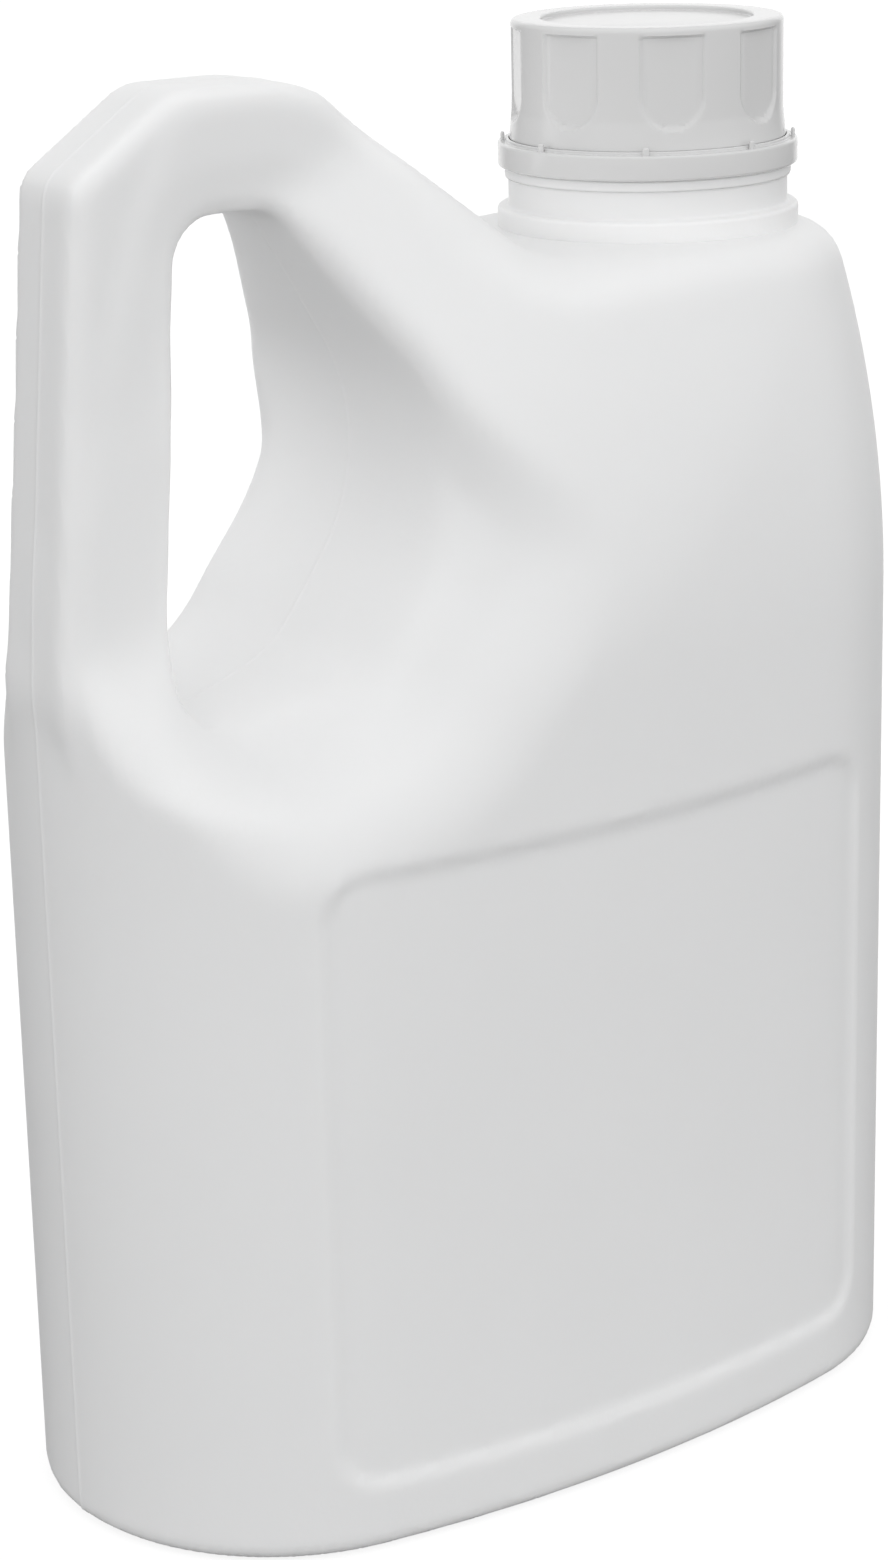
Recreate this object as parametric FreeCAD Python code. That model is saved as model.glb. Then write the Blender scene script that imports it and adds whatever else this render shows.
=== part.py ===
import FreeCAD, Part
import math
import os

# Detergent dispenser bottle: a blow-moulded jug with a through handle, and a screw cap whose
# tamper band stays on the neck. Millimetres. +Z is up, and the origin is on the floor under the
# middle of the body's oval. The neck is towards +X, the handle towards -X, and the two label
# faces look along -Y and +Y. The mould parts on the plane y = 0.

# Body oval, seen from above
HALF_LENGTH = 87.8
END_RADIUS = 44.5
FACE_RADIUS = 281.5

# Body heights
WAIST_Z = 150.0
SHOULDER_Z = 217.6
BASE_ROUND = 3.0
SHOULDER_ROUND = 9.0
LEAN_RADIUS = 228.0
WALL = 1.2

# Foot: the middle of the base is pushed up, which leaves a standing ring
FOOT_WIDTH = 14.0
PUSH_UP = 2.0

# Label panels, one sunk into each face
LABEL_HALF_LENGTH = 59.0
LABEL_LOW_Z = 13.0
LABEL_HIGH_Z = 124.0
LABEL_CORNER = 8.0
LABEL_DEPTH = 0.8

# Handle bar. Under its rounded edges the body keeps a narrower core.
HANDLE_HALF_WIDTH = 10.5
HANDLE_ROUND = 4.5
HANDLE_CORE = 5.5
ARM_TOP_Z = 250.6

# Slant between the handle's arm and each label face: its half width at one place, what that
# loses for each millimetre up, and what it gains for each millimetre towards the neck
SLANT_X = -26.0
SLANT_Y = 40.5
SLANT_Z = 180.0
SLANT_LOSS = 0.5
SLANT_GAIN = 0.3
SLANT_START_X = -60.0
SLANT_RUN = 100.0
WEB_HALF_WIDTH = 36.0

# Flare at the handle's root, as half widths and heights, and where it gives way to the opening
ROOT_FLARE = ((HANDLE_CORE, 172.0), (10.5, 166.0), (20.0, 150.0), (48.0, 141.0))
ROOT_END_X = -45.0

# Hand opening: how far its rim is set out at the label faces
RIM_OUT = 10.0
RIM_DOWN = 10.0
RIM_Y = 48.0

# Neck
NECK_X = 44.7
COLLAR_RADIUS = 27.2
COLLAR_HIGH_Z = 221.1
NECK_RADIUS = 25.2
BEAD_RADIUS = 25.8
BEAD_LOW_Z = 226.3
BEAD_HIGH_Z = 227.9
SEAT_RADIUS = 24.5
SEAT_HIGH_Z = 232.4
CATCH_RADIUS = 25.4
CATCH_LOW_Z = 230.9
CATCH_HIGH_Z = 232.0
SPOUT_RADIUS = 21.2
LIP_Z = 251.0
MOUTH_RADIUS = 19.0
THROAT_RADIUS = 22.6
THROAT_HIGH_Z = 226.0
MOUTH_LOW_Z = 233.0

# Screw thread, 45 mm over the neck's crests
PITCH = 4.0
THREAD_TURNS = 1.75
THREAD_CREST = 22.5
THREAD_LOW_Z = 238.0
CAP_THREAD_CREST = 21.6
ROOT_WIDTH = 2.2
CREST_WIDTH = 1.0
THREAD_BITE = 0.4

# Cap
CAP_TOP_Z = 254.3
CAP_LOW_Z = 232.95
CAP_RADIUS = 24.4
SKIRT_RADIUS = 24.9
SKIRT_HIGH_Z = 238.0
CAP_BORE = 22.8
CAP_ROOF_Z = 252.3
DISC_Z = 253.45
RIM_INNER = 19.9
RIM_ROUND = 0.8
FLUTES = 8
FLUTE_ANGLE = 16.3
FLUTE_HALF_WIDTH = 5.7
FLUTE_LOW_Z = 237.5
FLUTE_HIGH_Z = 252.7
FLUTE_FLAT = 23.6

# Liner wad under the cap's roof
LINER_RADIUS = 22.5
LINER_LOW_Z = 251.2

# Tamper band and its broken bridges
BAND_RADIUS = 27.0
BAND_BORE = 25.75
BAND_LOW_Z = 228.3
BAND_HIGH_Z = 232.7
SNAP_RADIUS = 24.85
SNAP_HIGH_Z = 230.4
BRIDGES = 8
BRIDGE_ANGLE = 50.0
BRIDGE_INNER = 25.1
BRIDGE_OUTER = 26.5
BRIDGE_HIGH_Z = 234.6
BRIDGE_WIDTH = 1.6

END_X = HALF_LENGTH - END_RADIUS
FACE_CENTRE_Y = math.sqrt((FACE_RADIUS - END_RADIUS) ** 2 - END_X ** 2)
FAR = 120.0
UP = FreeCAD.Vector(0, 0, 1)
NECK_AXIS = FreeCAD.Vector(NECK_X, 0, 0)


def oval(inset, z):
    """The body's plan outline at height z: four arcs in tangent, all set in by inset."""
    reach = FACE_RADIUS - inset
    share = reach / (FACE_RADIUS - END_RADIUS)
    join_x = END_X * share
    join_y = FACE_CENTRE_Y * (share - 1)
    crown = reach - FACE_CENTRE_Y
    tip = HALF_LENGTH - inset

    def at(x, y):
        return FreeCAD.Vector(x, y, z)

    arcs = [
        Part.Arc(at(-join_x, -join_y), at(0, -crown), at(join_x, -join_y)),
        Part.Arc(at(join_x, -join_y), at(tip, 0), at(join_x, join_y)),
        Part.Arc(at(join_x, join_y), at(0, crown), at(-join_x, join_y)),
        Part.Arc(at(-join_x, join_y), at(-tip, 0), at(-join_x, -join_y)),
    ]
    return Part.Wire([arc.toShape() for arc in arcs])


def rounded_outline(corners, y):
    """A closed outline in the plane of constant y, from corners (x, z, rounding radius)."""
    points = [FreeCAD.Vector(x, y, z) for x, z, radius in corners]
    edges = []
    starts = []
    ends = []
    for i, (x, z, radius) in enumerate(corners):
        here = points[i]
        back = (points[i - 1] - here).normalize()
        ahead = (points[(i + 1) % len(points)] - here).normalize()
        half_angle = back.getAngle(ahead) / 2
        reach = radius / math.tan(half_angle)
        bisector = (back + ahead).normalize()
        middle = here + bisector * (radius / math.sin(half_angle) - radius)
        starts.append(here + back * reach)
        ends.append(here + ahead * reach)
        edges.append(Part.Arc(starts[i], middle, ends[i]).toShape())
        if i > 0:
            edges.insert(-1, Part.makeLine(ends[i - 1], starts[i]))
    edges.append(Part.makeLine(ends[-1], starts[0]))
    return Part.Wire(edges)


def turned(profile, axis=NECK_AXIS):
    """A solid turned about a vertical axis from (radius, z) corners."""
    points = [axis + FreeCAD.Vector(radius, 0, z) for radius, z in profile]
    face = Part.Face(Part.makePolygon(points + points[:1]))
    return face.revolve(axis, UP, 360)


def edges_at(shape, test):
    """The edges whose middle point passes the test."""
    return [edge for edge in shape.Edges if test(edge.CenterOfMass)]


def lean(z):
    """How far the body's sides have come in at height z, above the waist."""
    return LEAN_RADIUS - math.sqrt(LEAN_RADIUS ** 2 - (z - WAIST_Z) ** 2)


def body_blank(inset):
    """The body without its handle: an oval prism, leaning in above the waist."""
    low = Part.Face(oval(inset, inset)).extrude(UP * (WAIST_Z - inset))
    floor_edges = edges_at(low, lambda p: p.z < inset + 0.01)
    low = low.makeFillet(BASE_ROUND - inset, floor_edges)
    top = SHOULDER_Z - inset
    steps = 4
    levels = [WAIST_Z + (top - WAIST_Z) * i / steps for i in range(steps + 1)]
    high = Part.makeLoft([oval(inset + lean(z), z) for z in levels], True)
    top_edges = edges_at(high, lambda p: p.z > top - 0.01)
    high = high.makeFillet(SHOULDER_ROUND - inset, top_edges)
    return low.fuse(high)


def side_cutter(profile, side, start_x, run):
    """What lies outside and above a profile (y, z), swept from start_x along run, on one face."""
    low_y, low_z = profile[0]
    wide_y, wide_z = profile[-1]
    corners = [(low_y, low_z + FAR * 2)] + profile + [(FAR, wide_z), (FAR, low_z + FAR * 2)]
    points = [FreeCAD.Vector(start_x, side * y, z) for y, z in corners]
    return Part.Face(Part.makePolygon(points + points[:1])).extrude(run)


def slant_cutter(inset, side):
    """The plane that leans in from a label face to the arm."""
    steepness = math.sqrt(1 + SLANT_LOSS ** 2 + SLANT_GAIN ** 2)
    reach = SLANT_Y + SLANT_GAIN * (SLANT_START_X - SLANT_X) - inset * steepness

    def height(y):
        return SLANT_Z + (reach - y) / SLANT_LOSS

    profile = [(y, height(y)) for y in (HANDLE_CORE - inset, FAR / 2)]
    run = FreeCAD.Vector(1, 0, SLANT_GAIN / SLANT_LOSS) * SLANT_RUN
    return side_cutter(profile, side, SLANT_START_X, run)


def root_cutter(inset, side):
    """The flare from the handle's root out to the body's oval."""
    profile = [(y - inset, z - inset) for y, z in ROOT_FLARE]
    return side_cutter(profile, side, -FAR, FreeCAD.Vector(FAR + ROOT_END_X, 0, 0))


def arm_web(inset):
    """The wide roof that falls from the arm to the shoulder, before it is slanted."""
    outline = rounded_outline([
        (ROOT_END_X, 226.0, 1.0),
        (ROOT_END_X, ARM_TOP_Z, 1.0),
        (-29.6, ARM_TOP_Z, 34.0),
        (5.0, SHOULDER_Z, 8.0),
        (15.0, SHOULDER_Z, 1.0),
        (15.0, 180.0, 1.0),
        (0.0, 180.0, 1.0),
    ], inset - WEB_HALF_WIDTH)
    if inset > 0:
        outline = outline.makeOffset2D(-inset)
    return Part.Face(outline).extrude(FreeCAD.Vector(0, 2 * (WEB_HALF_WIDTH - inset), 0))


def handle_bar(inset):
    """The handle's upright and arm: a plate of rounded edges, before the hand opening is cut."""
    outline = rounded_outline([
        (-84.0, 136.0, 4.0),
        (-88.1, 151.5, 30.0),
        (-80.6, 237.1, 5.0),
        (-60.6, ARM_TOP_Z, 8.0),
        (-29.6, ARM_TOP_Z, 34.0),
        (5.0, SHOULDER_Z, 8.0),
        (NECK_X, SHOULDER_Z, 0.5),
        (NECK_X, 190.0, 4.0),
        (-20.0, 136.0, 4.0),
    ], 0)
    if inset > 0:
        outline = outline.makeOffset2D(-inset)
    half_width = HANDLE_HALF_WIDTH - inset
    plate = Part.Face(outline).extrude(FreeCAD.Vector(0, 2 * half_width, 0))
    plate.translate(FreeCAD.Vector(0, -half_width, 0))
    rims = edges_at(plate, lambda p: abs(abs(p.y) - half_width) < 0.01)
    return plate.makeFillet(HANDLE_ROUND - inset, rims)


def hand_opening(grow):
    """The hole that the fingers go through. Its rim is set out towards both label faces."""
    sections = []
    for share in (-1.0, -0.5, 0.0, 0.5, 1.0):
        out = RIM_OUT * share ** 2 + grow
        down = RIM_DOWN * share ** 2 + grow
        sections.append(rounded_outline([
            (-68.0 - grow, 142.5 - down, 6.5 + grow),
            (-60.9 - grow, 229.5 + grow, 8.0 + grow),
            (-42.2 + out / 2, 229.5 + grow, 7.0 + grow),
            (-15.5 + out, 185.6, 35.0),
            (-40.2 + out, 152.4 - down, 20.0),
        ], RIM_Y * share))
    return Part.makeLoft(sections, True)


def jug_form(inset):
    """The closed form of body and handle, for the outside and, set in by the wall, the inside."""
    form = body_blank(inset).fuse(arm_web(inset))
    for side in (-1, 1):
        form = form.cut(slant_cutter(inset, side)).cut(root_cutter(inset, side))
    form = form.fuse(handle_bar(inset))
    return form.cut(hand_opening(inset))


def label_recess(side):
    """The shallow panel for a label, following the face at a constant depth."""
    window = rounded_outline([
        (-LABEL_HALF_LENGTH, LABEL_LOW_Z, LABEL_CORNER),
        (-LABEL_HALF_LENGTH, LABEL_HIGH_Z, LABEL_CORNER),
        (LABEL_HALF_LENGTH, LABEL_HIGH_Z, LABEL_CORNER),
        (LABEL_HALF_LENGTH, LABEL_LOW_Z, LABEL_CORNER),
    ], side * 20.0)
    block = Part.Face(window).extrude(FreeCAD.Vector(0, side * 40.0, 0))
    core = Part.Face(oval(LABEL_DEPTH, 0)).extrude(UP * WAIST_Z)
    return block.cut(core)


def thread(low_z, root_radius, crest_radius):
    """A right-hand ridge about the neck's axis. Its root end bites into the wall behind it."""
    bite = THREAD_BITE if crest_radius > root_radius else -THREAD_BITE
    helix = Part.makeHelix(PITCH, PITCH * THREAD_TURNS, crest_radius)
    corners = [
        (root_radius - bite, -ROOT_WIDTH / 2),
        (crest_radius, -CREST_WIDTH / 2),
        (crest_radius, CREST_WIDTH / 2),
        (root_radius - bite, ROOT_WIDTH / 2),
    ]
    points = [FreeCAD.Vector(radius, 0, z) for radius, z in corners]
    section = Part.makePolygon(points + points[:1])
    ridge = Part.Wire(helix).makePipeShell([section], True, True)
    ridge.translate(NECK_AXIS + UP * low_z)
    return ridge


def bottle():
    """Body, hollow handle and neck, blow-moulded in one."""
    outside = jug_form(0)
    neck = turned([
        (0, 195.0),
        (NECK_RADIUS, 195.0),
        (COLLAR_RADIUS, SHOULDER_Z - 4.0),
        (COLLAR_RADIUS, COLLAR_HIGH_Z),
        (NECK_RADIUS, COLLAR_HIGH_Z),
        (NECK_RADIUS, BEAD_LOW_Z),
        (BEAD_RADIUS, BEAD_LOW_Z),
        (BEAD_RADIUS, BEAD_HIGH_Z),
        (SEAT_RADIUS, BEAD_HIGH_Z),
        (SEAT_RADIUS, CATCH_LOW_Z),
        (CATCH_RADIUS, CATCH_LOW_Z),
        (SEAT_RADIUS, CATCH_HIGH_Z),
        (SEAT_RADIUS, SEAT_HIGH_Z),
        (SPOUT_RADIUS, SEAT_HIGH_Z),
        (SPOUT_RADIUS, LIP_Z),
        (0, LIP_Z),
    ])
    inside = jug_form(WALL)
    push_up = Part.Face(oval(FOOT_WIDTH, 0)).extrude(UP * PUSH_UP)
    inside = inside.cut(Part.Face(oval(FOOT_WIDTH - WALL, 0)).extrude(UP * (PUSH_UP + WALL)))
    bore = turned([
        (0, 200.0),
        (THROAT_RADIUS, 200.0),
        (THROAT_RADIUS, THROAT_HIGH_Z),
        (MOUTH_RADIUS, MOUTH_LOW_Z),
        (MOUTH_RADIUS, LIP_Z + 1.0),
        (0, LIP_Z + 1.0),
    ])
    shape = outside.fuse(neck)
    for side in (-1, 1):
        shape = shape.cut(label_recess(side))
    shape = shape.cut(inside.fuse(bore)).cut(push_up)
    return shape.fuse(thread(THREAD_LOW_Z, SPOUT_RADIUS, THREAD_CREST))


def screw_cap():
    """Closure: a raised rim about a sunk disc, eight flat finger flutes and an inside thread."""
    shell = turned([
        (CAP_BORE, CAP_LOW_Z),
        (SKIRT_RADIUS, CAP_LOW_Z),
        (SKIRT_RADIUS, CAP_LOW_Z + 0.8),
        (CAP_RADIUS, SKIRT_HIGH_Z),
        (CAP_RADIUS, CAP_TOP_Z - RIM_ROUND),
        (CAP_RADIUS - RIM_ROUND, CAP_TOP_Z),
        (RIM_INNER, CAP_TOP_Z),
        (RIM_INNER, DISC_Z),
        (0, DISC_Z),
        (0, CAP_ROOF_Z),
        (CAP_BORE, CAP_ROOF_Z),
    ])
    centre_z = FLUTE_LOW_Z + FLUTE_HALF_WIDTH
    reach = CAP_RADIUS - FLUTE_FLAT + 3.0
    sideways = FreeCAD.Vector(1, 0, 0)
    foot = FreeCAD.Vector(FLUTE_FLAT, 0, centre_z)
    round_end = Part.makeCylinder(FLUTE_HALF_WIDTH, reach, foot, sideways)
    corner = FreeCAD.Vector(FLUTE_FLAT, -FLUTE_HALF_WIDTH, centre_z)
    straight = Part.makeBox(reach, 2 * FLUTE_HALF_WIDTH, FLUTE_HIGH_Z - centre_z, corner)
    flute = round_end.fuse(straight)
    for i in range(FLUTES):
        cutter = flute.copy()
        cutter.rotate(FreeCAD.Vector(0, 0, 0), UP, FLUTE_ANGLE + i * 360.0 / FLUTES)
        cutter.translate(NECK_AXIS)
        shell = shell.cut(cutter)
    return shell.fuse(thread(THREAD_LOW_Z - PITCH / 2, CAP_BORE, CAP_THREAD_CREST))


def cap_liner():
    """Foam wad that the cap presses on the neck's lip."""
    return Part.makeCylinder(LINER_RADIUS, CAP_ROOF_Z - LINER_LOW_Z, NECK_AXIS + UP * LINER_LOW_Z)


def tamper_band():
    """Ring whose inner snap lip stays under the neck's catch."""
    return turned([
        (SNAP_RADIUS, BAND_LOW_Z),
        (BAND_RADIUS, BAND_LOW_Z),
        (BAND_RADIUS, BAND_HIGH_Z),
        (BAND_BORE, BAND_HIGH_Z),
        (BAND_BORE, SNAP_HIGH_Z),
        (SNAP_RADIUS, SNAP_HIGH_Z),
    ])


def break_bridges():
    """Stubs of the bridges that tie a new cap to its band."""
    bridges = []
    height = BRIDGE_HIGH_Z - BAND_HIGH_Z
    for i in range(BRIDGES):
        corner = FreeCAD.Vector(BRIDGE_INNER, -BRIDGE_WIDTH / 2, BAND_HIGH_Z)
        bridge = Part.makeBox(BRIDGE_OUTER - BRIDGE_INNER, BRIDGE_WIDTH, height, corner)
        bridge = bridge.makeFillet(0.5, edges_at(bridge, lambda p: p.z > BRIDGE_HIGH_Z - 0.01))
        bridge.rotate(FreeCAD.Vector(0, 0, 0), UP, BRIDGE_ANGLE + i * 360.0 / BRIDGES)
        bridge.translate(NECK_AXIS)
        bridges.append(bridge)
    return Part.makeCompound(bridges)


NODES = {
    "bottle": bottle,
    "screw_cap": screw_cap,
    "cap_liner": cap_liner,
    "tamper_band": tamper_band,
    "break_bridges": break_bridges,
}

os.makedirs("parts", exist_ok=True)
for name, make in NODES.items():
    shape = make()
    shape.exportStep("parts/" + name + ".step")
    print(name, len(shape.Solids), "solids,", round(shape.Volume / 1000, 2), "ml, valid", shape.isValid())
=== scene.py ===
import math

import bpy
import numpy as np
from mathutils import Matrix, Vector


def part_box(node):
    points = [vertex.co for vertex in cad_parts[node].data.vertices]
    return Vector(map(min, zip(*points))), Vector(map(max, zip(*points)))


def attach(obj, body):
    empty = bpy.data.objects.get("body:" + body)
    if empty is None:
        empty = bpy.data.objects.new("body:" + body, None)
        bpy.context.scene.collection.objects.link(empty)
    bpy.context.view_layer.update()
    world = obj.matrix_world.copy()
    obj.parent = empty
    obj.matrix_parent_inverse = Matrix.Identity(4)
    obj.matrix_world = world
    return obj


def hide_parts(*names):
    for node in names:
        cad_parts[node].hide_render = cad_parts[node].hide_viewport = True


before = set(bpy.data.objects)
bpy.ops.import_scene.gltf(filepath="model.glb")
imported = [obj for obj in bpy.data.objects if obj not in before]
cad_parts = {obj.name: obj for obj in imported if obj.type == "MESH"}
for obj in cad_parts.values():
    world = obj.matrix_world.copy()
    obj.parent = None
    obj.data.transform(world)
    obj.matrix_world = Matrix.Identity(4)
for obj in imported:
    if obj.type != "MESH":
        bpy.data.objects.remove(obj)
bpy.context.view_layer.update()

# A blow-moulded detergent jug with a through handle, its screw cap, and the tamper band left on
# the neck. Sizes are in millimetres in the CAD frame, and become metres when a mesh is made.
MM = 0.001


def cad_size(node):
    """A CAD node's lowest and highest corners, in millimetres."""
    low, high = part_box(node)
    return low / MM, high / MM


jug_high = cad_size("bottle")[1]
cap_low, cap_high = cad_size("screw_cap")
band_low, band_high = cad_size("tamper_band")
bridge_high = cad_size("break_bridges")[1]
liner_low, liner_high = cad_size("cap_liner")
NECK_X = (band_low.x + band_high.x) / 2

# Body: an oval of two end arcs and two face arcs, leaning in above the waist
HALF_LENGTH = jug_high.x
HALF_WIDTH = 48.0
END_RADIUS = 44.5
FACE_RADIUS = 281.5
END_X = HALF_LENGTH - END_RADIUS
FACE_Y = math.sqrt((FACE_RADIUS - END_RADIUS) ** 2 - END_X ** 2)
WAIST_Z = 150.0
LEAN_RADIUS = 228.0
SHOULDER_Z = 217.6
SHOULDER_ROUND = 9.0
BASE_ROUND = 3.0
WALL = 1.2
FOOT_WIDTH = 14.0
PUSH_UP = 2.0
PUSH_UP_EDGE = 4.0

# From this x on, the hollow ends under the shoulder. Before it, it goes on up into the arm.
CEILING_START_X = 15.0

# Handle: outline corners (x, z, rounding) from its root over the arm to the shoulder
ARM_TOP_Z = 250.6
HANDLE_OUTLINE = (
    (-84.0, 120.0, 4.0),
    (-88.3, 151.5, 40.0),
    (-80.6, 237.1, 5.0),
    (-60.6, ARM_TOP_Z, 8.0),
    (-31.8, ARM_TOP_Z, 34.0),
    (3.0, SHOULDER_Z, 8.0),
    (60.0, 168.0, 8.0),
)
HANDLE_HALF_WIDTH = 10.5
HANDLE_ROUND = 4.0
HANDLE_BLEND = 9.0
HANDLE_COSINE = 0.8
BEVEL_SLOPE = 0.14
BEVEL_WIDTH = 9.0
BAR_LOW_Z = 130.0
EDGE_COSINE = 0.3

# Slants between the arm and the label faces: half width at one place, and how it changes.
# SLANT_ROUND is added to the rounding over a run of y, and ARM_FOOT_ROUND over a run of x.
SLANT_PLACE = (-26.0, 180.0)
SLANT_HALF_WIDTH = 40.5
SLANT_LOSS = 0.5
SLANT_GAIN = 0.3
SLANT_ROUND = 12.0
SLANT_ROUND_Y = 11.0
SLANT_ROUND_RUN = 15.0
ARM_ROUND = 1.0
ARM_FOOT_ROUND = 14.0
ARM_FOOT_X = -30.0
ARM_FOOT_RUN = 20.0
ARM_FOOT_COSINE = 0.75

# Flare at the handle's root
FLARE_TOP_Z = 170.0
FLARE_HEIGHT = 36.0
FLARE_WIDTH = 38.0
FLARE_POWER = 2.8
FLARE_LIMIT = 1.4
FLARE_TILT = 0.75
FLARE_COSINE = 0.5
FLARE_SPREAD_X = -60.0
FLARE_SPREAD = 1.6
FLARE_ROUND = 22.0

# Hand opening: corners (x, z, rounding), and how the rim moves towards the label faces
OPENING = (
    (-68.0, 142.5, 6.5),
    (-60.9, 229.5, 8.0),
    (-42.2, 229.5, 5.0),
    (-15.5, 185.6, 35.0),
    (-40.2, 152.4, 20.0),
)
RIM_OUT = 1.5
RIM_DOWN = 2.0
RIM_LIMIT = 1.1
RIM_ROUND_HIGH = 5.0
RIM_ROUND_LOW = 24.0
RIM_CHANGE_Z = 170.0
RIM_CHANGE = 30.0
RIM_GROWTH = 0.8

# Label panels and mould seam
LABEL_HALF_LENGTH = 59.0
LABEL_LOW_Z = 13.0
LABEL_HIGH_Z = 124.0
LABEL_CORNER = 8.0
LABEL_DEPTH = 0.8
LABEL_EDGE = 1.6
SEAM_HEIGHT = 0.14
SEAM_HALF_WIDTH = 0.35

# Grid that the jug's surface is found on, finer at the seam and softened above the foot
SOFTNESS = 1.2
SOFT_START_Z = 15.0
SOFT_RUN = 20.0
GRID_STEP = 1.25
GRID_MARGIN = 6.0
SEAM_STEP = 0.2
SEAM_GRID_HALF = 0.8
GRID_GROWTH = 1.35


def smooth_step(t):
    """0 below 0, 1 above 1, and smooth between."""
    t = np.clip(t, 0, 1)
    return t * t * (3 - 2 * t)


def fillet_meet(a, b, radius, cosine):
    """The inside of both a and b, with a fillet where they meet. cosine is between their normals."""
    u = a + radius
    v = b + radius
    sine2 = 1 - cosine * cosine
    along_a = (u - cosine * v) / sine2
    along_b = (v - cosine * u) / sine2
    arc = np.sqrt(np.maximum(along_a * u + along_b * v, 0)) - radius
    return np.where((along_a > 0) & (along_b > 0), arc, np.maximum(a, b))


def fillet_join(a, b, radius, cosine):
    """The inside of a or b, with a fillet in the corner between them."""
    return -fillet_meet(-a, -b, radius, cosine)


def outline_field(x, z, corners, closed=True):
    """Distance outside a convex outline of clockwise corners (x, z, rounding) in the side view."""
    count = len(corners)
    sides = []
    normals = []
    for i in range(count):
        px, pz = corners[i][:2]
        qx, qz = corners[(i + 1) % count][:2]
        length = np.sqrt((qx - px) ** 2 + (qz - pz) ** 2)
        nx = (pz - qz) / length
        nz = (qx - px) / length
        sides.append((x - px) * nx + (z - pz) * nz)
        normals.append((nx, nz))
    inner = range(count) if closed else range(1, count - 1)
    field = -np.inf
    for i in inner:
        cosine = normals[i][0] * normals[i - 1][0] + normals[i][1] * normals[i - 1][1]
        field = np.maximum(field, fillet_meet(sides[i - 1], sides[i], corners[i][2], cosine))
    return field


def oval_field(x, y):
    """Distance outside the body's plan oval."""
    ax = np.abs(x)
    ay = np.abs(y)
    face = np.hypot(ax, ay + FACE_Y) - FACE_RADIUS
    end = np.hypot(ax - END_X, ay) - END_RADIUS
    return np.where(ax * FACE_Y < END_X * (ay + FACE_Y), face, end)


def side_field(x, y, z):
    """Distance outside the body's leaning side wall, and the sine of its lean."""
    over = np.clip(z - WAIST_Z, 0, None)
    reach = np.sqrt(LEAN_RADIUS ** 2 - over ** 2)
    steep = over / reach
    tilt = np.sqrt(1 + steep ** 2)
    return (oval_field(x, y) + LEAN_RADIUS - reach) / tilt, steep / tilt


def opening_field(x, y, z):
    """Distance outside the hand opening, whose rim moves with the square of the way out."""
    share = np.minimum(np.abs(y) / HALF_WIDTH, RIM_LIMIT) ** 2
    out = RIM_OUT * share
    down = RIM_DOWN * share
    (lx, lz, lr), left_top, (tx, tz, tr), (wx, wz, wr), (fx, fz, fr) = OPENING
    corners = [
        (lx, lz - down, lr),
        left_top,
        (tx + out / 2, tz, tr),
        (wx + out, wz, wr),
        (fx + out, fz - down, fr),
    ]
    return outline_field(x, z, corners)


def half_width_field(x, y, z, opening):
    """How far a place is outside the slants, the root flare and the handle's two faces."""
    ay = np.abs(y)
    place_x, place_z = SLANT_PLACE
    slant_half = SLANT_HALF_WIDTH - SLANT_LOSS * (z - place_z) + SLANT_GAIN * (x - place_x)
    slant = (ay - slant_half) / math.sqrt(1 + SLANT_LOSS ** 2 + SLANT_GAIN ** 2)
    drop = np.clip((FLARE_TOP_Z - z) / FLARE_HEIGHT, 0, FLARE_LIMIT)
    flare_half = HANDLE_HALF_WIDTH + FLARE_WIDTH * drop ** FLARE_POWER
    flare_half = flare_half + FLARE_SPREAD * np.maximum(x - FLARE_SPREAD_X, 0)
    faces = fillet_meet(slant, (ay - flare_half) * FLARE_TILT, FLARE_ROUND, FLARE_COSINE)
    bevel = BEVEL_SLOPE * np.maximum(BEVEL_WIDTH - opening, 0)
    return fillet_join(faces, ay - HANDLE_HALF_WIDTH + bevel, HANDLE_BLEND, HANDLE_COSINE)


def jug_field(x, y, z):
    """Roughly the distance outside the jug, without its neck, labels and seam."""
    ay = np.abs(y)
    side, lean_sine = side_field(x, y, z)
    outline = outline_field(x, z, HANDLE_OUTLINE, closed=False)
    foot_round = ARM_ROUND + ARM_FOOT_ROUND * smooth_step((x - ARM_FOOT_X) / ARM_FOOT_RUN)
    roof = fillet_join(z - SHOULDER_Z, outline, foot_round, ARM_FOOT_COSINE)
    block = fillet_meet(side, roof, SHOULDER_ROUND, lean_sine)
    block = fillet_meet(block, -z, BASE_ROUND, 0.0)
    bar = np.maximum(np.maximum(outline, ay - HANDLE_HALF_WIDTH), np.maximum(BAR_LOW_Z - z, x))
    form = np.minimum(block, bar)
    opening = opening_field(x, y, z)
    edge_round = HANDLE_ROUND + SLANT_ROUND * smooth_step((ay - SLANT_ROUND_Y) / SLANT_ROUND_RUN)
    form = fillet_meet(form, half_width_field(x, y, z, opening), edge_round, EDGE_COSINE)
    high = smooth_step((z - RIM_CHANGE_Z) / RIM_CHANGE)
    widest = RIM_ROUND_HIGH * high + RIM_ROUND_LOW * (1 - high)
    rim = HANDLE_ROUND / 2 + RIM_GROWTH * (ay - HANDLE_HALF_WIDTH)
    return fillet_meet(form, -opening, np.clip(rim, HANDLE_ROUND / 2, widest), 0.0)


def soften(field, coords, sigma, axis):
    """The field blurred along one axis of an uneven grid."""
    widths = np.gradient(coords)
    weights = np.exp(-0.5 * ((coords[:, None] - coords[None, :]) / sigma) ** 2) * widths[None, :]
    weights /= weights.sum(1, keepdims=True)
    moved = np.moveaxis(field, axis, 0)
    blurred = np.tensordot(weights.astype(np.float32), moved, 1)
    return np.moveaxis(blurred, 0, axis)


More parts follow.
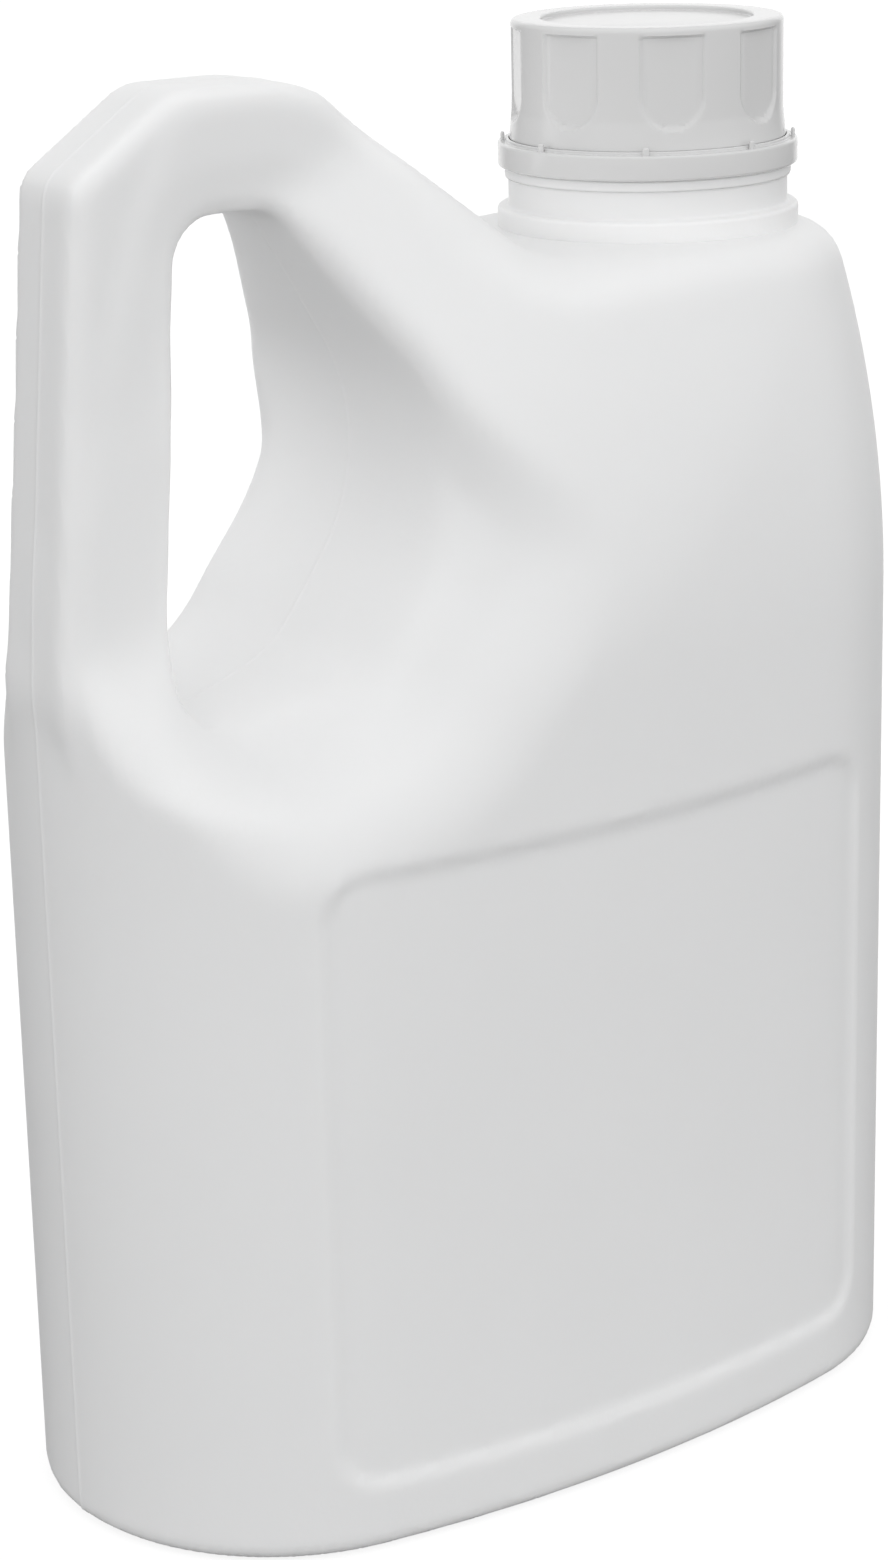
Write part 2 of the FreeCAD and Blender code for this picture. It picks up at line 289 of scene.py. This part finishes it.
def label_depth(x, z):
    """How deep the label panel is sunk at each place of the side view."""
    half_height = (LABEL_HIGH_Z - LABEL_LOW_Z) / 2
    dx = np.abs(x) - LABEL_HALF_LENGTH + LABEL_CORNER
    dz = np.abs(z - LABEL_LOW_Z - half_height) - half_height + LABEL_CORNER
    outside = np.hypot(np.maximum(dx, 0), np.maximum(dz, 0)) - LABEL_CORNER
    inside = np.minimum(np.maximum(dx, dz), 0)
    return LABEL_DEPTH * smooth_step(0.5 - (outside + inside) / LABEL_EDGE)


def lines_across(reach, step):
    """Grid lines as far as the reach on both sides of 0, closer together around the mould seam."""
    fine = np.arange(0, SEAM_GRID_HALF, SEAM_STEP)
    growing = [SEAM_GRID_HALF]
    gap = SEAM_STEP
    while growing[-1] < reach:
        gap = min(gap * GRID_GROWTH, step)
        growing.append(growing[-1] + gap)
    half = np.concatenate([fine, growing])
    return np.concatenate([-half[:0:-1], half])


def jug_grid(step):
    """Grid lines around the jug, and the softened field on them."""
    xs = np.arange(-HALF_LENGTH - GRID_MARGIN, HALF_LENGTH + GRID_MARGIN, step)
    ys = lines_across(HALF_WIDTH + GRID_MARGIN, step)
    zs = np.arange(-GRID_MARGIN, ARM_TOP_Z + GRID_MARGIN, step)
    field = jug_field(xs[:, None, None], ys[None, :, None], zs[None, None, :]).astype(np.float32)
    soft = field
    for axis, coords in enumerate((xs, ys, zs)):
        soft = soften(soft, coords, SOFTNESS, axis)
    share = smooth_step((zs - SOFT_START_Z) / SOFT_RUN)[None, None, :].astype(np.float32)
    return xs, ys, zs, field * (1 - share) + soft * share


def surface_net(xs, ys, zs, field):
    """Vertices and quads of the surface where the field crosses 0, one vertex a cell."""
    grids = (xs, ys, zs)
    inside = field < 0
    cells = tuple(n - 1 for n in field.shape)
    total = np.zeros((3, cells[0] * cells[1] * cells[2]))
    count = np.zeros(cells[0] * cells[1] * cells[2])
    crossings = []
    for axis in range(3):
        low = [slice(None)] * 3
        high = [slice(None)] * 3
        low[axis] = slice(0, -1)
        high[axis] = slice(1, None)
        low = tuple(low)
        high = tuple(high)
        index = np.argwhere(inside[low] != inside[high])
        a = field[low][tuple(index.T)]
        b = field[high][tuple(index.T)]
        share = a / (a - b)
        point = np.stack([grids[k][index[:, k]] for k in range(3)])
        ahead = grids[axis][index[:, axis] + 1]
        point[axis] += share * (ahead - grids[axis][index[:, axis]])
        others = [k for k in range(3) if k != axis]
        around = []
        for du, dv in ((0, 0), (1, 0), (1, 1), (0, 1)):
            cell = index.copy()
            cell[:, others[0]] -= du
            cell[:, others[1]] -= dv
            flat = np.ravel_multi_index(tuple(cell.T), cells)
            around.append(flat)
            count += np.bincount(flat, minlength=len(count))
            for k in range(3):
                total[k] += np.bincount(flat, weights=point[k], minlength=len(count))
        quad = np.stack(around, 1)
        flip = (a > b) ^ (axis == 1)
        quad[flip] = quad[flip][:, ::-1]
        crossings.append(quad)
    used = np.flatnonzero(count)
    number = np.zeros(len(count), int)
    number[used] = np.arange(len(used))
    verts = (total[:, used] / count[used]).T
    return verts, number[np.concatenate(crossings)]


def mesh_piece(name, verts, faces):
    """A smooth-shaded object from millimetre vertices."""
    mesh = bpy.data.meshes.new(name)
    verts = np.asarray(verts, float) * MM
    mesh.from_pydata(verts.tolist(), [], [list(face) for face in np.asarray(faces).tolist()])
    mesh.validate()
    mesh.shade_smooth()
    piece = bpy.data.objects.new(name, mesh)
    bpy.context.scene.collection.objects.link(piece)
    return piece


def rounded_profile(corners, turn_degrees=12.0):
    """A closed profile (radius, z) from corners (radius, z, rounding), with its arcs stepped."""
    count = len(corners)
    points = []
    for i, (r, z, rounding) in enumerate(corners):
        here = np.array((r, z), float)
        if rounding == 0:
            points.append(here)
            continue
        back = np.array(corners[i - 1][:2], float) - here
        ahead = np.array(corners[(i + 1) % count][:2], float) - here
        back /= np.linalg.norm(back)
        ahead /= np.linalg.norm(ahead)
        half = math.acos(np.clip(back @ ahead, -1, 1)) / 2
        bisector = (back + ahead) / np.linalg.norm(back + ahead)
        centre = here + bisector * rounding / math.sin(half)
        start = here + back * rounding / math.tan(half) - centre
        end = here + ahead * rounding / math.tan(half) - centre
        sweep = math.pi - 2 * half
        steps = max(2, math.ceil(math.degrees(sweep) / turn_degrees))
        for k in range(steps + 1):
            t = k / steps
            mix = (math.sin((1 - t) * sweep) * start + math.sin(t * sweep) * end) / math.sin(sweep)
            points.append(centre + mix)
    return np.array(points)


def ring_faces(rows, columns):
    """Quads of a grid of rows by columns, closed around both ways."""
    faces = []
    for i in range(rows):
        here = i * columns
        ahead = ((i + 1) % rows) * columns
        for j in range(columns):
            k = (j + 1) % columns
            faces.append((here + j, here + k, ahead + k, ahead + j))
    return faces


def turned(name, corners, segments=192):
    """A ring turned about the neck's axis from a closed profile that runs counter-clockwise."""
    profile = rounded_profile(corners)
    angles = np.arange(segments) * 2 * math.pi / segments
    radii = profile[:, 0][:, None]
    verts = np.stack([
        NECK_X + radii * np.cos(angles),
        radii * np.sin(angles),
        np.repeat(profile[:, 1][:, None], segments, 1),
    ], -1).reshape(-1, 3)
    return mesh_piece(name, verts, ring_faces(len(profile), segments))


def keep_edges(piece, degrees):
    """Smooth shading, except over edges sharper than the angle."""
    piece.data.shade_smooth()
    piece.data.set_sharp_from_angle(angle=math.radians(degrees))


def combine(piece, other, operation):
    """Adds other to piece or takes it away, and removes other."""
    step = piece.modifiers.new("combine", "BOOLEAN")
    step.operation = operation
    step.object = other
    step.solver = "MANIFOLD"
    bpy.context.view_layer.update()
    graph = bpy.context.evaluated_depsgraph_get()
    mesh = bpy.data.meshes.new_from_object(piece.evaluated_get(graph))
    piece.modifiers.clear()
    old = piece.data
    piece.data = mesh
    bpy.data.meshes.remove(old)
    bpy.data.objects.remove(other)
    return piece


# Neck, cap, band and bridges. Turned profiles end a hair from the axis, at AXIS_RADIUS.
AXIS_RADIUS = 0.01
NECK_ROOT_Z = 205.0
BORE_LOW_Z = 208.0
COLLAR_FOOT = 5.0
COLLAR_RADIUS = 27.2
COLLAR_HIGH_Z = 221.1
NECK_RADIUS = 25.2
BEAD_RADIUS = 25.8
BEAD_LOW_Z = 226.3
BEAD_HIGH_Z = 228.2
SEAT_RADIUS = 24.5
SEAT_HIGH_Z = 232.4
CATCH_RADIUS = 25.4
CATCH_LOW_Z = 230.9
CATCH_HIGH_Z = 232.0
SPOUT_RADIUS = 21.2
LIP_Z = jug_high.z
MOUTH_RADIUS = 19.0
MOUTH_LOW_Z = 233.0
THROAT_RADIUS = 22.6
THROAT_HIGH_Z = 226.0
PITCH = 4.0
THREAD_TURNS = 1.75
THREAD_CREST = 22.5
THREAD_LOW_Z = 238.0
THREAD_ROOT_WIDTH = 2.2
THREAD_CREST_WIDTH = 1.0
THREAD_BITE = 0.4
THREAD_FADE = 0.12
CAP_THREAD_CREST = 21.6
CAP_RADIUS = 24.4
SKIRT_RADIUS = cap_high.x - NECK_X
SKIRT_EDGE = 0.3
SKIRT_TAPER = 4.2
CAP_BORE = 22.8
DISC_Z = 253.45
RIM_INNER = 19.0
RIM_ROUND = 0.9
RIM_SIDE = 3.0
FLUTES = 8
FLUTE_ANGLE = 16.3
FLUTE_HALF_WIDTH = 5.7
FLUTE_LOW_Z = 236.8
FLUTE_HIGH_Z = 252.7
FLUTE_FLAT = 23.55
FLUTE_DEPTH = 0.45
FLUTE_EDGE = 0.5
BAND_BORE = 25.75
SNAP_RADIUS = 24.85
SNAP_HIGH_Z = 230.4
LIP_LOW_Z = 232.15
LIP_RADIUS = 25.02
LIP_OUTER = 25.6
LIP_HIGH_Z = 233.25
BRIDGES = 8
BRIDGE_ANGLE = 50.0
BRIDGE_INNER = 25.1
BRIDGE_OUTER = 26.5
BRIDGE_WIDTH = 1.2
STUB_INSET = 0.7
STUB_SINK = 0.3
STUB_DROP = 0.5
STUB_ROUND = 0.35


def screw_ridge(name, root_radius, crest_radius, low_z, sections=96):
    """A closed right-hand thread ridge that dies away into the wall at both ends."""
    bite = THREAD_BITE if crest_radius > root_radius else -THREAD_BITE
    rings = []
    for i in range(sections + 1):
        turn = THREAD_TURNS * i / sections
        angle = turn * 2 * math.pi
        fade = float(smooth_step(min(turn, THREAD_TURNS - turn) / THREAD_FADE))
        crest = root_radius - bite / 2 + (crest_radius - root_radius + bite / 2) * fade
        z = low_z + PITCH * turn
        half_root = THREAD_ROOT_WIDTH / 2
        half_crest = THREAD_CREST_WIDTH / 2
        section = (
            (root_radius - bite, z - half_root),
            (crest, z - half_crest),
            (crest, z + half_crest),
            (root_radius - bite, z + half_root),
        )
        for r, height in section:
            rings.append((NECK_X + r * math.cos(angle), r * math.sin(angle), height))
    faces = []
    for i in range(sections):
        for j in range(4):
            k = (j + 1) % 4
            faces.append((4 * i + j, 4 * i + k, 4 * i + 4 + k, 4 * i + 4 + j))
    last = 4 * sections
    faces.append((3, 2, 1, 0))
    faces.append((last, last + 1, last + 2, last + 3))
    if crest_radius > root_radius:
        faces = [face[::-1] for face in faces]
    return mesh_piece(name, rings, faces)


def jug_neck():
    """The turned neck: collar, bead, the seat of the tamper band, spout and lip."""
    return turned("neck", [
        (AXIS_RADIUS, NECK_ROOT_Z, 0),
        (NECK_RADIUS - 1.5, NECK_ROOT_Z, 0),
        (COLLAR_RADIUS, SHOULDER_Z - COLLAR_FOOT, 0),
        (COLLAR_RADIUS, COLLAR_HIGH_Z, 0.7),
        (NECK_RADIUS, COLLAR_HIGH_Z + 0.15, 0.6),
        (NECK_RADIUS, BEAD_LOW_Z, 0.5),
        (BEAD_RADIUS, BEAD_LOW_Z, 0.4),
        (BEAD_RADIUS, BEAD_HIGH_Z, 0.4),
        (SEAT_RADIUS, BEAD_HIGH_Z, 0.3),
        (SEAT_RADIUS, CATCH_LOW_Z, 0.1),
        (CATCH_RADIUS, CATCH_LOW_Z, 0.2),
        (SEAT_RADIUS, CATCH_HIGH_Z, 0.2),
        (SEAT_RADIUS, SEAT_HIGH_Z, 0.1),
        (SPOUT_RADIUS, SEAT_HIGH_Z, 0.5),
        (SPOUT_RADIUS, LIP_Z, 0.6),
        (AXIS_RADIUS, LIP_Z, 0),
    ])


def jug_bore():
    """What is taken out of the neck: the throat and the narrower mouth."""
    return turned("bore", [
        (AXIS_RADIUS, BORE_LOW_Z, 0),
        (THROAT_RADIUS, BORE_LOW_Z, 0),
        (THROAT_RADIUS, THROAT_HIGH_Z, 2.0),
        (MOUTH_RADIUS, MOUTH_LOW_Z, 2.0),
        (MOUTH_RADIUS, LIP_Z + 2.0, 0),
        (AXIS_RADIUS, LIP_Z + 2.0, 0),
    ])


def jug_shells():
    """The jug's outside, with labels, push-up and seam, and the closed form of its hollow."""
    xs, ys, zs, field = jug_grid(GRID_STEP)
    height = zs[None, None, :]
    panel = label_depth(xs[:, None], zs[None, :])[:, None, :]
    foot = oval_field(xs[:, None], ys[None, :]) + FOOT_WIDTH
    lift = (PUSH_UP * smooth_step(0.5 - foot / PUSH_UP_EDGE))[:, :, None]
    seam = (SEAM_HEIGHT * np.exp(-(ys / SEAM_HALF_WIDTH) ** 2))[None, :, None]
    outer = np.maximum(field, lift - height) + panel - seam
    hollow = field + WALL
    under_roof = np.maximum(hollow, height - SHOULDER_Z + WALL)
    inner = np.where(xs[:, None, None] < CEILING_START_X, hollow, under_roof) + panel
    inner = np.maximum(inner, lift + WALL - height)
    outside = mesh_piece("jug", *surface_net(xs, ys, zs, outer))
    inside = mesh_piece("inside", *surface_net(xs[::2], ys[::2], zs[::2], inner[::2, ::2, ::2]))
    return outside, inside


def jug():
    """The jug in one piece: outside, neck, thread and hollow inside."""
    piece, inside = jug_shells()
    piece = combine(piece, jug_neck(), "UNION")
    piece = combine(piece, screw_ridge("ridge", SPOUT_RADIUS, THREAD_CREST, THREAD_LOW_Z), "UNION")
    inside = combine(inside, jug_bore(), "UNION")
    piece = combine(piece, inside, "DIFFERENCE")
    keep_edges(piece, 50)
    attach(piece, "jug")
    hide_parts("bottle")
    return piece


def flute_share(angle, z):
    """1 inside a flute's U-shaped outline, 0 outside, with a soft edge."""
    spacing = 2 * math.pi / FLUTES
    turn = (angle - math.radians(FLUTE_ANGLE) + spacing / 2) % spacing - spacing / 2
    across = np.abs(turn) * CAP_RADIUS
    centre_z = FLUTE_LOW_Z + FLUTE_HALF_WIDTH
    below = np.minimum(z - centre_z, 0)
    beyond = np.hypot(across, below) - FLUTE_HALF_WIDTH
    above = z - FLUTE_HIGH_Z
    return smooth_step(0.5 - np.maximum(beyond, above) / FLUTE_EDGE), turn


def cap_wall(steps=44):
    """Profile points (radius, z) up the cap's outside, which tapers in above its skirt."""
    low_z = cap_low.z + SKIRT_EDGE
    rise = cap_high.z - RIM_ROUND - low_z
    points = []
    for i in range(steps + 1):
        taper = min(1, SKIRT_TAPER * i / steps)
        points.append([SKIRT_RADIUS - (SKIRT_RADIUS - CAP_RADIUS) * taper, low_z + rise * i / steps])
    return points


def cap_profile():
    """The cap's closed profile: roof and bore, skirt, outside wall, rim and sunk disc."""
    bore = rounded_profile([
        (AXIS_RADIUS, liner_high.z, 0),
        (CAP_BORE, liner_high.z, 0.3),
        (CAP_BORE, cap_low.z, 0.2),
        (SKIRT_RADIUS - 0.25, cap_low.z, 0.1),
    ])
    top = rounded_profile([
        (CAP_RADIUS, cap_high.z - RIM_SIDE, 0),
        (CAP_RADIUS, cap_high.z, RIM_ROUND),
        (RIM_INNER, cap_high.z, 0.45),
        (RIM_INNER, DISC_Z, 0.25),
        (AXIS_RADIUS, DISC_Z, 0),
    ])
    return bore.tolist() + cap_wall() + top.tolist()[1:]


def cap(segments=480):
    """The screw cap: its profile turned about the axis with flutes in the wall, and its thread."""
    profile = cap_profile()
    angles = np.arange(segments) * 2 * math.pi / segments
    verts = []
    for r, z in profile:
        radii = np.full(segments, float(r))
        if r > CAP_BORE + 0.5:
            share, turn = flute_share(angles, z)
            flat = np.minimum(radii - FLUTE_DEPTH, FLUTE_FLAT / np.cos(turn))
            radii = radii * (1 - share) + flat * share
        across = NECK_X + radii * np.cos(angles)
        verts.append(np.stack([across, radii * np.sin(angles), np.full(segments, z)], 1))
    piece = mesh_piece("cap", np.concatenate(verts), ring_faces(len(profile), segments))
    ridge = screw_ridge("cap_ridge", CAP_BORE, CAP_THREAD_CREST, THREAD_LOW_Z - PITCH / 2)
    piece = combine(piece, ridge, "UNION")
    keep_edges(piece, 40)
    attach(piece, "closure")
    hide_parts("screw_cap")
    return piece


def tamper_ring():
    """The tamper band, with its inner snap lip."""
    outer = band_high.x - NECK_X
    piece = turned("tamper_ring", [
        (SNAP_RADIUS, band_low.z, 0.2),
        (outer, band_low.z, 0.5),
        (outer, band_high.z, 0.5),
        (LIP_OUTER, band_high.z, 0.2),
        (LIP_OUTER, LIP_HIGH_Z, 0.15),
        (LIP_RADIUS, LIP_HIGH_Z, 0.12),
        (LIP_RADIUS, LIP_LOW_Z, 0.1),
        (BAND_BORE, LIP_LOW_Z, 0.2),
        (BAND_BORE, SNAP_HIGH_Z, 0.2),
        (SNAP_RADIUS, SNAP_HIGH_Z, 0.2),
    ], 256)
    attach(piece, "ring")
    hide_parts("tamper_band")
    return piece


def box_stub(name, inner, outer, width, low_z, high_z, angle):
    """A rounded block that stands on the band, reaching out from the neck's axis."""
    mesh = bpy.data.meshes.new(name)
    cosine = math.cos(math.radians(angle))
    sine = math.sin(math.radians(angle))
    verts = []
    for r in (inner, outer):
        for y in (-width / 2, width / 2):
            for z in (low_z, high_z):
                verts.append((NECK_X + r * cosine - y * sine, r * sine + y * cosine, z))
    faces = ((0, 1, 3, 2), (4, 6, 7, 5), (0, 4, 5, 1), (2, 3, 7, 6), (1, 5, 7, 3), (0, 2, 6, 4))
    mesh.from_pydata([[c * MM for c in v] for v in verts], [], faces)
    stub = bpy.data.objects.new(name, mesh)
    bpy.context.scene.collection.objects.link(stub)
    bevel = stub.modifiers.new("round", "BEVEL")
    bevel.width = STUB_ROUND * MM
    bevel.segments = 3
    return stub


def bridge_stubs():
    """The torn stubs of the bridges that tied the cap to its band."""
    for i in range(BRIDGES):
        angle = BRIDGE_ANGLE + i * 360.0 / BRIDGES
        stub = box_stub("bridge_%d" % (i + 1), BRIDGE_INNER + STUB_INSET, BRIDGE_OUTER,
                        BRIDGE_WIDTH, band_high.z - STUB_SINK, bridge_high.z - STUB_DROP, angle)
        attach(stub, "ring")
        if i == 0:
            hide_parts("break_bridges")
        yield stub


def liner():
    """The foam wad under the cap's roof."""
    piece = turned("liner", [
        (AXIS_RADIUS, liner_low.z, 0),
        (liner_high.x - NECK_X, liner_low.z, 0.25),
        (liner_high.x - NECK_X, liner_high.z, 0.25),
        (AXIS_RADIUS, liner_high.z, 0),
    ])
    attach(piece, "seal")
    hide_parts("cap_liner")
    return piece


# Materials: noise scales are in waves over a metre
CLOUD_SCALE = 14.0
CLOUD_RANGE = (0.3, 0.7)
CLOUD_TONES = (0.985, 1.01)
GLOSS_SCALE = 60.0
GLOSS_BELOW = 0.05
GLOSS_ABOVE = 0.06
GRAIN_HEIGHT = 0.1
PLASTIC_IOR = 1.5
SUBSURFACE_SPREAD = (1.0, 0.95, 0.9)


def new_material(name):
    """An empty node material and its shader."""
    material = bpy.data.materials.new(name)
    material.use_nodes = True
    shader = material.node_tree.nodes["Principled BSDF"]
    return material, shader


def noise(nodes, links, scale, detail):
    """A noise texture's output, on the piece's own coordinates."""
    place = nodes.new("ShaderNodeTexCoord")
    texture = nodes.new("ShaderNodeTexNoise")
    texture.inputs["Scale"].default_value = scale
    texture.inputs["Detail"].default_value = detail
    links.new(place.outputs["Object"], texture.inputs["Vector"])
    return texture.outputs["Fac"]


def plastic(name, tone, tint, roughness, grain, grain_strength, subsurface, radius):
    """A moulded plastic: cloudy tone, uneven gloss and a fine moulded grain."""
    material, shader = new_material(name)
    nodes = material.node_tree.nodes
    links = material.node_tree.links
    ramp = nodes.new("ShaderNodeValToRGB")
    for element, position, share in zip(ramp.color_ramp.elements, CLOUD_RANGE, CLOUD_TONES):
        element.position = position
        element.color = [c * tone * share for c in tint] + [1]
    links.new(noise(nodes, links, CLOUD_SCALE, 3.0), ramp.inputs["Fac"])
    links.new(ramp.outputs["Color"], shader.inputs["Base Color"])
    gloss = nodes.new("ShaderNodeMapRange")
    gloss.inputs["To Min"].default_value = roughness - GLOSS_BELOW
    gloss.inputs["To Max"].default_value = roughness + GLOSS_ABOVE
    links.new(noise(nodes, links, GLOSS_SCALE, 5.0), gloss.inputs["Value"])
    links.new(gloss.outputs["Result"], shader.inputs["Roughness"])
    bump = nodes.new("ShaderNodeBump")
    bump.inputs["Strength"].default_value = grain_strength
    bump.inputs["Distance"].default_value = GRAIN_HEIGHT * MM
    links.new(noise(nodes, links, grain, 4.0), bump.inputs["Height"])
    links.new(bump.outputs["Normal"], shader.inputs["Normal"])
    shader.inputs["IOR"].default_value = PLASTIC_IOR
    shader.inputs["Subsurface Weight"].default_value = subsurface
    shader.inputs["Subsurface Radius"].default_value = SUBSURFACE_SPREAD
    shader.inputs["Subsurface Scale"].default_value = radius * MM
    return material


def jug_plastic():
    """Natural polyethylene: satin, with a little light passing through."""
    return plastic("jug_plastic", tone=0.90, tint=(1, 1, 1), roughness=0.45,
                   grain=900.0, grain_strength=0.25, subsurface=0.25, radius=4.0)


def cap_plastic():
    """The closure's plastic: greyer, glossy and nearly opaque."""
    return plastic("cap_plastic", tone=0.70, tint=(1, 1, 1), roughness=0.16,
                   grain=700.0, grain_strength=0.08, subsurface=0.1, radius=1.5)


def liner_foam():
    """The wad's foam: dull, with a coarse grain."""
    return plastic("liner_foam", tone=0.86, tint=(1, 1, 0.99), roughness=0.7,
                   grain=1500.0, grain_strength=0.6, subsurface=0.1, radius=1.0)


def paint(pieces, material):
    """One material on each piece."""
    for piece in pieces:
        piece.data.materials.clear()
        piece.data.materials.append(material)


jug_piece = jug()
cap_piece = cap()
ring_piece = tamper_ring()
stub_pieces = list(bridge_stubs())
liner_piece = liner()
paint([jug_piece], jug_plastic())
paint([cap_piece, ring_piece] + stub_pieces, cap_plastic())
paint([liner_piece], liner_foam())


# Studio, in metres. A light's spread is how far round the sky it changes, as cosines.
CAMERA_PLACE = Vector((-0.372158, -0.507237, 0.314870))
CAMERA_FORWARD = Vector((0.561282, 0.773106, -0.295415))
CAMERA_UP = Vector((0.192214, 0.225413, 0.955114))
CAMERA_LENS = 83.22

ROOM_LIGHT = 2.12
BEHIND_LIGHT = 0.80
BEHIND_SPREAD = (-0.5, 0.7)
SHEET_AIM = Vector((CAMERA_FORWARD.x, CAMERA_FORWARD.y, -0.6 * CAMERA_FORWARD.z))
SHEET_LIGHT = 1.08
SHEET_SPREAD = (0.68, 0.9)
LEFT_LIGHT = 0.90
LEFT_SPREAD = (-1.0, 0.2)
BELOW_LIGHT = 0.15
ABOVE_LIGHT = 0.54
HEIGHT_SPREAD = (-0.5, 0.1)
HOLE_LIGHT_PLACE = Vector((-0.054, 0.058, 0.212))
HOLE_LIGHT_AIM = Vector((-0.026, 0.013, 0.205))
HOLE_LIGHT_SIZE = (0.03, 0.07)
HOLE_LIGHT_POWER = 0.0060
FLOOR_RADIUS = 6.0
FLOOR_Z = -0.0002
FLOOR_TONE = 0.3
FLOOR_GLOW = 0.78
BACKDROP_RADIUS = 9.0
BACKDROP_GLOW = 1.02


def studio_material(name, colour, glow):
    """A plain pale surface that partly glows, so that it stays white."""
    material, shader = new_material(name)
    shader.inputs["Base Color"].default_value = (colour, colour, colour, 1)
    shader.inputs["Roughness"].default_value = 0.9
    shader.inputs["Specular IOR Level"].default_value = 0.0
    shader.inputs["Emission Color"].default_value = (1, 1, 1, 1)
    shader.inputs["Emission Strength"].default_value = glow
    return material


def backdrop_piece(name, verts, faces, material):
    """A part of the studio that the camera sees and that doesn't light the object."""
    mesh = bpy.data.meshes.new(name)
    mesh.from_pydata(verts, [], faces)
    mesh.materials.append(material)
    mesh.shade_smooth()
    thing = bpy.data.objects.new(name, mesh)
    bpy.context.scene.collection.objects.link(thing)
    thing.visible_diffuse = False
    thing.visible_glossy = False
    thing.visible_transmission = False
    thing.visible_shadow = False
    return thing


def floor_disc(count=96):
    """The floor: a wide pale disc under the jug."""
    turns = [2 * math.pi * i / count for i in range(count)]
    verts = [(FLOOR_RADIUS * math.cos(t), FLOOR_RADIUS * math.sin(t), FLOOR_Z) for t in turns]
    paper = studio_material("floor_paper", FLOOR_TONE, FLOOR_GLOW)
    return backdrop_piece("floor", verts, [list(range(count))], paper)


def backdrop_dome(rings=24, count=48):
    """The white backdrop: a dome all around, seen from inside."""
    verts = []
    for i in range(1, rings):
        tilt = math.pi * i / rings
        reach = BACKDROP_RADIUS * math.sin(tilt)
        for j in range(count):
            turn = 2 * math.pi * j / count
            verts.append((reach * math.cos(turn), reach * math.sin(turn), BACKDROP_RADIUS * math.cos(tilt)))
    verts += [(0, 0, BACKDROP_RADIUS), (0, 0, -BACKDROP_RADIUS)]
    last = (rings - 2) * count
    faces = []
    for j in range(count):
        k = (j + 1) % count
        for i in range(rings - 2):
            faces.append((i * count + j, i * count + k, (i + 1) * count + k, (i + 1) * count + j))
        faces.append((len(verts) - 2, k, j))
        faces.append((last + j, last + k, len(verts) - 1))
    return backdrop_piece("backdrop", verts, faces, studio_material("backdrop_paper", 0.0, BACKDROP_GLOW))


def room_light():
    """Soft light from all around, weaker from below, left and behind, and a bright sheet behind."""
    world = bpy.data.worlds.new("studio")
    bpy.context.scene.world = world
    world.use_nodes = True
    nodes = world.node_tree.nodes
    links = world.node_tree.links
    background = nodes["Background"]
    place = nodes.new("ShaderNodeTexCoord")

    def lobe(direction, spread, at_low, at_high):
        dot = nodes.new("ShaderNodeVectorMath")
        dot.operation = "DOT_PRODUCT"
        dot.inputs[1].default_value = direction
        links.new(place.outputs["Generated"], dot.inputs[0])
        span = nodes.new("ShaderNodeMapRange")
        span.interpolation_type = "SMOOTHSTEP"
        span.inputs["From Min"].default_value = spread[0]
        span.inputs["From Max"].default_value = spread[1]
        span.inputs["To Min"].default_value = at_low
        span.inputs["To Max"].default_value = at_high
        links.new(dot.outputs["Value"], span.inputs["Value"])
        return span.outputs["Result"]

    def combined(operation, first, second):
        step = nodes.new("ShaderNodeMath")
        step.operation = operation
        links.new(first, step.inputs[0])
        links.new(second, step.inputs[1])
        return step.outputs["Value"]

    to_right = CAMERA_FORWARD.cross(CAMERA_UP).normalized()
    behind = lobe(CAMERA_FORWARD.normalized(), BEHIND_SPREAD, ROOM_LIGHT, BEHIND_LIGHT)
    height = lobe((0, 0, 1), HEIGHT_SPREAD, BELOW_LIGHT, ABOVE_LIGHT)
    side = lobe(to_right, LEFT_SPREAD, LEFT_LIGHT, 1.0)
    sheet = lobe(SHEET_AIM.normalized(), SHEET_SPREAD, 0.0, SHEET_LIGHT)
    around = combined("MULTIPLY", combined("MULTIPLY", behind, height), side)
    links.new(combined("MAXIMUM", around, sheet), background.inputs["Strength"])
    background.inputs["Color"].default_value = (1, 1, 1, 1)


def hole_light():
    """A small soft light behind the jug, on the wall of the hand opening."""
    lamp = bpy.data.lights.new("hole_light", "AREA")
    lamp.shape = "RECTANGLE"
    lamp.size, lamp.size_y = HOLE_LIGHT_SIZE
    lamp.energy = HOLE_LIGHT_POWER
    thing = bpy.data.objects.new("hole_light", lamp)
    thing.location = HOLE_LIGHT_PLACE
    aim = HOLE_LIGHT_AIM - HOLE_LIGHT_PLACE
    thing.rotation_euler = aim.to_track_quat("-Z", "Y").to_euler()
    thing.visible_camera = False
    bpy.context.scene.collection.objects.link(thing)


floor_disc()
hole_light()
backdrop_dome()
room_light()
bpy.context.scene.view_settings.view_transform = "Standard"

# Camera
camera_data = bpy.data.cameras.new("camera")
camera_data.sensor_fit = "AUTO"
camera_data.sensor_width = 36.0
camera_data.lens = CAMERA_LENS
camera_data.clip_start = 0.01
camera_data.clip_end = 50.0
camera = bpy.data.objects.new("camera", camera_data)
right = CAMERA_FORWARD.cross(CAMERA_UP).normalized()
up = right.cross(CAMERA_FORWARD).normalized()
turn = Matrix((right, up, -CAMERA_FORWARD.normalized())).transposed()
camera.matrix_world = Matrix.Translation(CAMERA_PLACE) @ turn.to_4x4()
bpy.context.scene.collection.objects.link(camera)
bpy.context.scene.camera = camera
